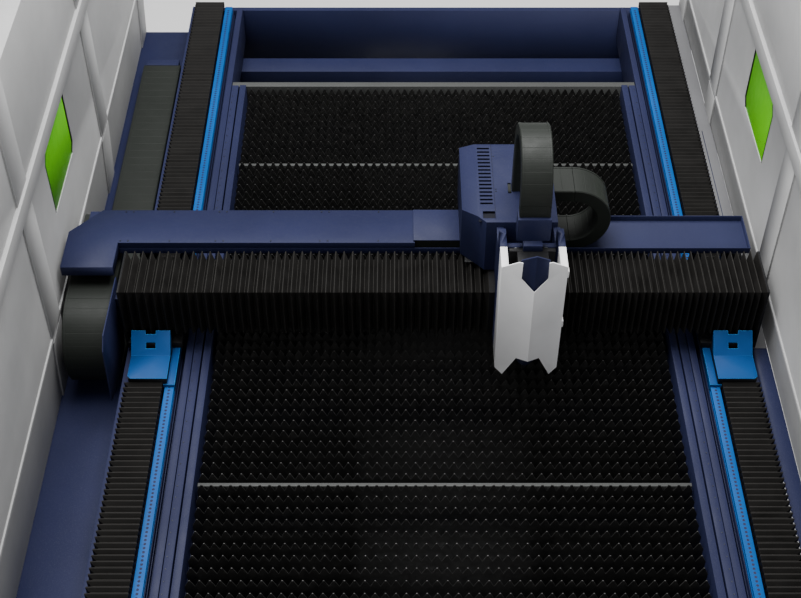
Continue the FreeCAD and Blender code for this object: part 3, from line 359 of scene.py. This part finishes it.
def gather(shapes):
    """Joins (verts, faces) lists into one."""
    verts, faces = [], []
    for v, f in shapes:
        base = len(verts)
        verts += list(v)
        faces += [tuple(base + i for i in face) for face in f]
    return verts, faces


def unsmooth(w):
    """The t at which the smooth step t*t*(3-2t) has the value w."""
    a, b = 0.0, 1.0
    for _ in range(40):
        m = (a + b) / 2
        a, b = (m, b) if m * m * (3 - 2 * m) < w else (a, m)
    return (a + b) / 2


def blend_run(obj, axis, p0, p1, w0, w1):
    """Bakes the piece's transform; the run from w0 at p0 to w1 at p1 along an axis is worked out but not
    used, so no motion is shared.
    """
    t0, t1 = unsmooth(w0), unsmooth(w1)
    length = (p1 - p0) / (t1 - t0)
    start, end = [0.0] * 3, [0.0] * 3
    start[axis] = p0 - t0 * length
    end[axis] = start[axis] + length
    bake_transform(obj)


# ---- bellows ----
def pleated(name, outer, inner, axis, fixed, moving, pleats, node, chunks=8):
    """Pleated cover: folds run from the fixed end to the moving end along an axis, in chunks."""
    crest = 0.9 * MM * (1 if moving > fixed else -1)
    rows, places = [], []
    span = moving - fixed
    for i in range(2 * pleats + 1):
        at = fixed + span * i / (2 * pleats)
        at += span / pleats * rng.uniform(-0.03, 0.03) if 0 < i < 2 * pleats else 0.0
        profile = outer if i % 2 == 0 else inner
        for shift in ((-crest, crest) if 0 < i < 2 * pleats else (0.0,)):
            row = []
            for a, b in profile:
                point = [0.0, 0.0, b]
                point[axis] = at + shift
                point[1 - axis] = a
                row.append(tuple(point))
            rows.append(row)
            places.append(at + shift)
    per = len(outer)
    edges = [round(k * (len(rows) - 1) / chunks) for k in range(chunks + 1)]
    for k in range(chunks):
        part = rows[edges[k]:edges[k + 1] + 1]
        verts = [p for row in part for p in row]
        faces = []
        for r in range(len(part) - 1):
            for c in range(per - 1):
                a = r * per + c
                faces.append((a, a + 1, a + per + 1, a + per))
        piece = mesh_piece(f"{name}_{k}", verts, faces, "bellows_cloth")
        solid = piece.modifiers.new("cloth", "SOLIDIFY")
        solid.thickness = 1.2 * MM
        solid.offset = 0.0
        p0, p1 = places[edges[k]], places[edges[k + 1]]
        blend_run(piece, axis, p0, p1, (p0 - fixed) / span, (p1 - fixed) / span)
        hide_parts(node)


def beam_bellows():
    """Covers the front and top of the beam on both sides of the carriage."""
    depth = 26 * MM
    for side, pleats in (("left", 43), ("right", 30)):
        node = "x_bellows_" + side
        a, b = low(node), high(node)
        outer = [(a.y, a.z), (a.y, b.z), (b.y, b.z)]
        inner = [(a.y + depth, a.z + 0.1 * depth), (a.y + depth, b.z - depth),
                 (b.y - 0.55 * depth, b.z - depth)]
        fixed, moving = (a.x, b.x) if side == "left" else (b.x, a.x)
        pleated("beam_bellows_" + side, outer, inner, 0, fixed, moving, pleats, node)


def rail_bellows():
    """Covers both racks, in front of the gantry's feet and behind them."""
    depth = 20 * MM
    pitch = 22 * MM
    gap = 0.5 * MM
    box_low, box_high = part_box("y_bellows")
    foot_low, foot_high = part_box("gantry_feet")
    centre = (box_low.x + box_high.x) / 2
    reach_in = high("y_rails").x + 5 * MM - centre
    reach_out = box_high.x - centre
    ends = (("front", box_low.y, foot_low.y - gap), ("rear", box_high.y, foot_high.y + gap))
    for tag, side in (("left", -1), ("right", 1)):
        near, far = centre + side * reach_in, centre + side * reach_out
        tuck = side * depth * 0.7
        fold_top = box_high.z - depth * 0.55
        outer = [(near, box_low.z), (near, box_high.z), (far, box_high.z), (far, box_low.z)]
        inner = [(near + tuck * 0.3, box_low.z), (near + tuck * 0.3, fold_top),
                 (far - tuck, fold_top), (far - tuck, box_low.z)]
        for end, fixed, moving in ends:
            pleats = round(abs(moving - fixed) / pitch)
            pleated(f"rail_bellows_{tag}_{end}", outer, inner, 1, fixed, moving, pleats,
                    "y_bellows")


# ---- drag chains ----
def chain_section(width, thick):
    """Cross-section of a chain: chamfered corners, and cover plates set in between the side plates."""
    w, t = width / 2, thick / 2
    chamfer, side_plate, inset = 3 * MM, 9 * MM, 1.2 * MM
    half = [(w, 0), (w, t - chamfer), (w - chamfer, t), (w - side_plate, t), (w - side_plate, t - inset)]
    top = half + [(-x, y) for x, y in reversed(half)]
    bottom = [(-x, -y) for x, y in top[1:-1]]
    return top + bottom


def chain_rows(path, links, width, thick, across, groove=0.35 * MM):
    """Rows of section points along a path of (place, outward direction), with a seam per link."""
    section = chain_section(width, thick)
    total = sum((path[i + 1][0] - path[i][0]).length for i in range(len(path) - 1))
    marks = []
    for i in range(links + 1):
        d = total * i / links
        marks += [(d - 1.2 * MM, 0), (d - 0.5 * MM, groove), (d + 0.5 * MM, groove), (d + 1.2 * MM, 0)]
        if i < links:
            marks += [(d + total / links * k / 4, 0) for k in (1, 2, 3)]
    rows = []
    for d, dip in marks:
        if d < 0 or d > total:
            continue
        place, out = at_distance(path, d)
        row = []
        for u, v in section:
            v = v - math.copysign(dip, v) if abs(v) > thick / 2 - 4 * MM else v
            row.append(place + across * u + out * v)
        rows.append((d / total, row))
    return rows


def at_distance(path, d):
    """The place and the outward direction at a distance d along a path."""
    for i in range(len(path) - 1):
        step = (path[i + 1][0] - path[i][0]).length
        if d <= step or i == len(path) - 2:
            k = d / step
            return path[i][0].lerp(path[i + 1][0], k), path[i][1].lerp(path[i + 1][1], k).normalized()
        d -= step


def loft(name, rows, body=None):
    """A closed chain body through rows of section points."""
    n = len(rows[0])
    verts = [p for row in rows for p in row]
    faces = []
    for r in range(len(rows) - 1):
        for i in range(n):
            j = (i + 1) % n
            faces.append((r * n + i, r * n + j, (r + 1) * n + j, (r + 1) * n + i))
    faces.append(tuple(range(n))[::-1])
    faces.append(tuple(range((len(rows) - 1) * n, len(rows) * n)))
    piece = mesh_piece(name, verts, faces, "chain_plastic", body)
    mesh = bmesh.new()
    mesh.from_mesh(piece.data)
    bmesh.ops.recalc_face_normals(mesh, faces=mesh.faces)
    mesh.to_mesh(piece.data)
    mesh.free()
    return piece


def chain_loop(name, node, body, centre, radius, across, first, turn, width, thick, links):
    """Half loop: starts in direction first from the centre and turns through half a circle."""
    path = []
    for i in range(49):
        a = math.pi * i / 48
        out = first * math.cos(a) + turn * math.sin(a)
        path.append((centre + out * (radius - thick / 2), out))
    rows = [row for _, row in chain_rows(path, links, width, thick, across)]
    piece = loft(name, rows, body)
    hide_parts(node)


def chain_run(name, node, a, b, out, across, width, thick, links, axis, w0, w1, chunks=6):
    rows = chain_rows([(a, out), (b, out)], links, width, thick, across)
    edges = [round(k * (len(rows) - 1) / chunks) for k in range(chunks + 1)]
    for k in range(chunks):
        part = rows[edges[k]:edges[k + 1] + 1]
        piece = loft(f"{name}_{k}", [row for _, row in part])
        k0, k1 = part[0][0], part[-1][0]
        p0, p1 = a[axis] + (b[axis] - a[axis]) * k0, a[axis] + (b[axis] - a[axis]) * k1
        blend_run(piece, axis, p0, p1, w0 + (w1 - w0) * k0, w0 + (w1 - w0) * k1)
        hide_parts(node)


def x_chain():
    """Lies in the cable tray, turns over beyond the carriage and runs back to it."""
    x, y, z = AXES
    thick = 46 * MM
    a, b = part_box("x_chain_loop")
    width, mid_y = b.y - a.y, (a.y + b.y) / 2
    lower_z, upper_z = a.z + thick / 2, b.z - thick / 2
    tray_end = Vector((low("x_chain_runs").x, mid_y, lower_z))
    carriage_end = Vector((middle("z_slide").x - 82 * MM, mid_y, upper_z))
    chain_loop("x_chain_bend", "x_chain_loop", "x_chain", Vector((a.x, mid_y, (a.z + b.z) / 2)),
               (b.z - a.z) / 2, y, -z, x, width, thick, 11)
    chain_run("x_chain_lower", "x_chain_runs", tray_end, Vector((a.x, mid_y, lower_z)), -z, y, width, thick,
              13, 0, 0.0, 0.5)
    chain_run("x_chain_upper", "x_chain_runs", Vector((a.x, mid_y, upper_z)), carriage_end, z, y, width,
              thick, 6, 0, 0.5, 1.0)


def y_chain():
    """Lies in the trough, turns over at its front end and runs back to the gantry's arm."""
    x, y, z = AXES
    thick = 45 * MM
    a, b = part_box("y_chain_loop")
    width, mid_x = b.x - a.x, (a.x + b.x) / 2
    lower_z, upper_z = a.z + thick / 2, b.z - thick / 2
    trough_end = Vector((mid_x, high("y_chain_runs").y, lower_z))
    arm_end = Vector((mid_x, b.y + 420 * MM, upper_z))
    chain_loop("y_chain_bend", "y_chain_loop", "y_chain", Vector((mid_x, b.y, (a.z + b.z) / 2)),
               (b.z - a.z) / 2, x, -z, -y, width, thick, 12)
    chain_run("y_chain_lower", "y_chain_runs", trough_end, Vector((mid_x, b.y, lower_z)), -z, x, width, thick,
              38, 1, 0.0, 0.5, 8)
    chain_run("y_chain_upper", "y_chain_runs", Vector((mid_x, b.y, upper_z)), arm_end, z, x, width, thick,
              10, 1, 0.5, 1.0)


def z_chain():
    """Rises from the housing, turns over above it and comes down to the head."""
    x, y, z = AXES
    thick = 40 * MM
    a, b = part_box("z_chain_loop")
    width, mid_x = b.x - a.x, (a.x + b.x) / 2
    front, back = a.y + thick / 2, b.y - thick / 2
    head_end = Vector((mid_x, front, high("z_chain_bracket").z))
    housing_end = Vector((mid_x, back, high("carriage_housing").z))
    chain_loop("z_chain_bend", "z_chain_loop", "z_chain", Vector((mid_x, (a.y + b.y) / 2, a.z)),
               (b.y - a.y) / 2, x, -y, z, width, thick, 13)
    chain_run("z_chain_front", "z_chain_runs", head_end, Vector((mid_x, front, a.z)), -y, x, width, thick,
              2, 2, 0.0, 0.5, 2)
    chain_run("z_chain_back", "z_chain_runs", housing_end, Vector((mid_x, back, a.z)), y, x, width, thick,
              5, 2, 0.0, 0.5, 3)


# ---- small fittings ----
def block(low_point, high_point):
    """A box with chamfered top edges, as (verts, faces)."""
    (x0, y0, z0), (x1, y1, z1) = low_point, high_point
    c = min(x1 - x0, y1 - y0, z1 - z0) * 0.25
    rings = [(x0, y0, x1, y1, z0), (x0, y0, x1, y1, z1 - c), (x0 + c, y0 + c, x1 - c, y1 - c, z1)]
    verts = []
    for a0, b0, a1, b1, z in rings:
        verts += [(a0, b0, z), (a1, b0, z), (a1, b1, z), (a0, b1, z)]
    faces = [(3, 2, 1, 0), (8, 9, 10, 11)]
    for k in (0, 4):
        faces += [(k + i, k + (i + 1) % 4, k + 4 + (i + 1) % 4, k + 4 + i) for i in range(4)]
    return verts, faces


def screw_head(x, y, z, radius, height, sides=10):
    """A domed cap with a socket in its top."""
    profile = [(radius, -0.5 * MM), (radius, height * 0.6), (radius * 0.8, height), (radius * 0.45, height),
               (radius * 0.35, height * 0.5)]
    return turned(profile, (x, y, z), sides)


def fitted(name, shapes, material, body):
    """One piece made of many small shapes, fixed to a body."""
    verts, faces = gather(shapes)
    piece = mesh_piece(name, verts, faces, material, body)
    return piece


def rail_plugs():
    """Caps pressed into the row of bolt holes along both guide rails."""
    a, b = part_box("y_rails")
    width = 31 * MM
    pitch = 14.5 * MM
    count = int((b.y - a.y - 20 * MM) / pitch)
    shapes = []
    for x in (a.x + width / 2, b.x - width / 2):
        for i in range(count):
            shapes.append(screw_head(x, a.y + 14 * MM + i * pitch, b.z, 4.8 * MM, 0.2 * MM, 8))
    fitted("rail_plugs", shapes, "navy_paint", "bed")


def slat_screws():
    """One screw on each side member for every slat."""
    a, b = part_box("table_sides")
    pitch = 43.5 * MM
    count = int((b.y - a.y) / pitch)
    shapes = []
    for x in (a.x + 8 * MM, b.x - 8 * MM):
        for i in range(count):
            y = (a.y + b.y) / 2 + (i - (count - 1) / 2) * pitch
            shapes.append(screw_head(x, y, b.z, 2.6 * MM, 0.9 * MM, 8))
    fitted("slat_screws", shapes, SCREW, "bed")


def lid_screws():
    a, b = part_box("tray_lid")
    back = high("cable_tray").y - 9 * MM
    front = low("cable_tray").y + 9 * MM
    shapes = []
    for k in (0.06, 0.085, 0.22, 0.37, 0.395, 0.55, 0.71, 0.735, 0.9):
        x = a.x + 120 * MM + (b.x - a.x - 140 * MM) * k
        for y in (front, back):
            shapes.append(screw_head(x, y, b.z, 3.2 * MM, 1.4 * MM))
    fitted("lid_screws", shapes, SCREW, "gantry")


def housing_fittings():
    """Seam and screws on the housing top, and a dark plate behind its louvres as painted shade."""
    _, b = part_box("carriage_housing")
    left = middle("head_cover").x - 213.5 * MM
    front, top = b.y - 395 * MM, b.z
    seam_x, seam_width = left + 106 * MM, 1.4 * MM
    seam = block((seam_x, front + 12 * MM, top - 0.2 * MM),
                 (seam_x + seam_width, b.y - 2 * MM, top + 0.25 * MM))
    fitted("housing_seam", [seam], SEAM_AND_SHADE_NAVY, "carriage")
    screws = [screw_head(seam_x + 7 * MM, front + back * MM, top, 2.6 * MM, 1.2 * MM)
              for back in (150, 162, 330)]
    fitted("housing_screws", screws, SCREW, "carriage")
    # Painted shade: a dark plate under the housing top that makes the louvres look shaded.
    louvre_shade = block((left + 52 * MM, front + 14 * MM, top - 12 * MM),
                   (left + 112 * MM, b.y - 8 * MM, top - 9 * MM))
    fitted("housing_louvre_shade", [louvre_shade], SEAM_AND_SHADE_NAVY, "carriage")


def window_gaskets():
    """Black rubber along the upright edges and cut corners of both windows."""
    a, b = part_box("windows")
    margin, length, cut = 14 * MM, 352 * MM, 28 * MM
    thick, inset = 2.4 * MM, 4 * MM
    z0, z1 = a.z + margin, b.z - margin
    panes = (("left", a.x + inset, a.y + margin), ("right", b.x - inset - thick, b.y - margin - length))
    for tag, x0, y0 in panes:
        y1 = y0 + length
        centre = ((y0 + y1) / 2, (z0 + z1) / 2)
        rear_edge = [(y1 - cut, z0), (y1, z0 + cut), (y1, z1)]
        front_edge = [(y0 + cut, z1), (y0, z1 - cut), (y0, z0)]
        shapes = [gasket_bar(p, q, centre, x0, x0 + thick)
                  for run in (rear_edge, front_edge) for p, q in zip(run, run[1:])]
        fitted("window_gasket_" + tag, shapes, RUBBER, "bed")


def gasket_bar(p, q, centre, x0, x1, width=9 * MM):
    """A flat bar from p to q, that lies on the centre's side of them."""
    along = Vector((q[0] - p[0], q[1] - p[1])).normalized()
    side = Vector((-along.y, along.x))
    if side.dot(Vector(centre) - Vector(p)) < 0:
        side = -side
    corners = [Vector(p), Vector(q), Vector(q) + side * width, Vector(p) + side * width]
    verts = [(x, c.x, c.y) for x in (x0, x1) for c in corners]
    faces = [(0, 1, 2, 3), (7, 6, 5, 4)] + [(i, i + 4, (i + 1) % 4 + 4, (i + 1) % 4) for i in range(4)]
    return verts, faces


def slide_tape():
    """Pale wear tape in short lengths along the outer edge of the right front bellows."""
    a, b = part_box("y_bellows")
    pitch, length = 22 * MM, 13 * MM
    bottom, top = RAIL_TOP - 3.9 * MM, RAIL_TOP - 3.0 * MM
    end = low("gantry_feet").y - 400 * MM
    shapes = []
    y = a.y + 10 * MM
    while y < end:
        shapes.append(block((b.x - 2 * MM, y, bottom), (b.x + 4 * MM, y + length, top)))
        y += pitch
    fitted("slide_tape", shapes, "wall_paint", "bed")


# ---- floor and light ----
def studio():
    """A pale floor under soft lamps: one above, one for the left side and one in front."""
    reach = 14.0
    corners = [(-reach, -reach, 0), (reach, -reach, 0), (reach, reach, 0), (-reach, reach, 0)]
    floor = mesh_piece("floor", corners, [(0, 1, 2, 3)], floor_paint())
    for name, place, aim, width, power in (
            ("key", (0.1, 1.0, 5.6), (0.1, 0.5, 0.9), 3.4, 430),
            ("left", (-1.0, -0.6, 5.4), (1.2, 0.0, 1.4), 2.0, 110),
            ("front", (-1.8, -5.8, 4.6), (0, 0, 0.9), 2.4, 62)):
        data = bpy.data.lights.new(name, "AREA")
        data.size = width
        data.energy = power
        lamp = bpy.data.objects.new(name, data)
        bpy.context.scene.collection.objects.link(lamp)
        lamp.location = place
        lamp.rotation_euler = (Vector(aim) - Vector(place)).to_track_quat("-Z", "Y").to_euler()
    world = bpy.data.worlds.new("studio")
    world.use_nodes = True
    world.node_tree.nodes["Background"].inputs["Color"].default_value = (1.0, 1.0, 1.0, 1.0)
    world.node_tree.nodes["Background"].inputs["Strength"].default_value = 0.3
    bpy.context.scene.world = world


def floor_paint():
    f = Finish("floor_paint")
    colour = f.ramp(f.noise(0.8, 3.0), [(0.3, (0.84, 0.84, 0.84)), (0.7, (0.88, 0.88, 0.88))])
    f.link(colour, f.shader.inputs["Base Color"])
    f.shader.inputs["Roughness"].default_value = 0.7
    return f.material


dress_cad()
beam_bellows()
rail_bellows()
x_chain()
y_chain()
z_chain()
rail_plugs()
slat_screws()
lid_screws()
housing_fittings()
window_gaskets()
slide_tape()
studio()
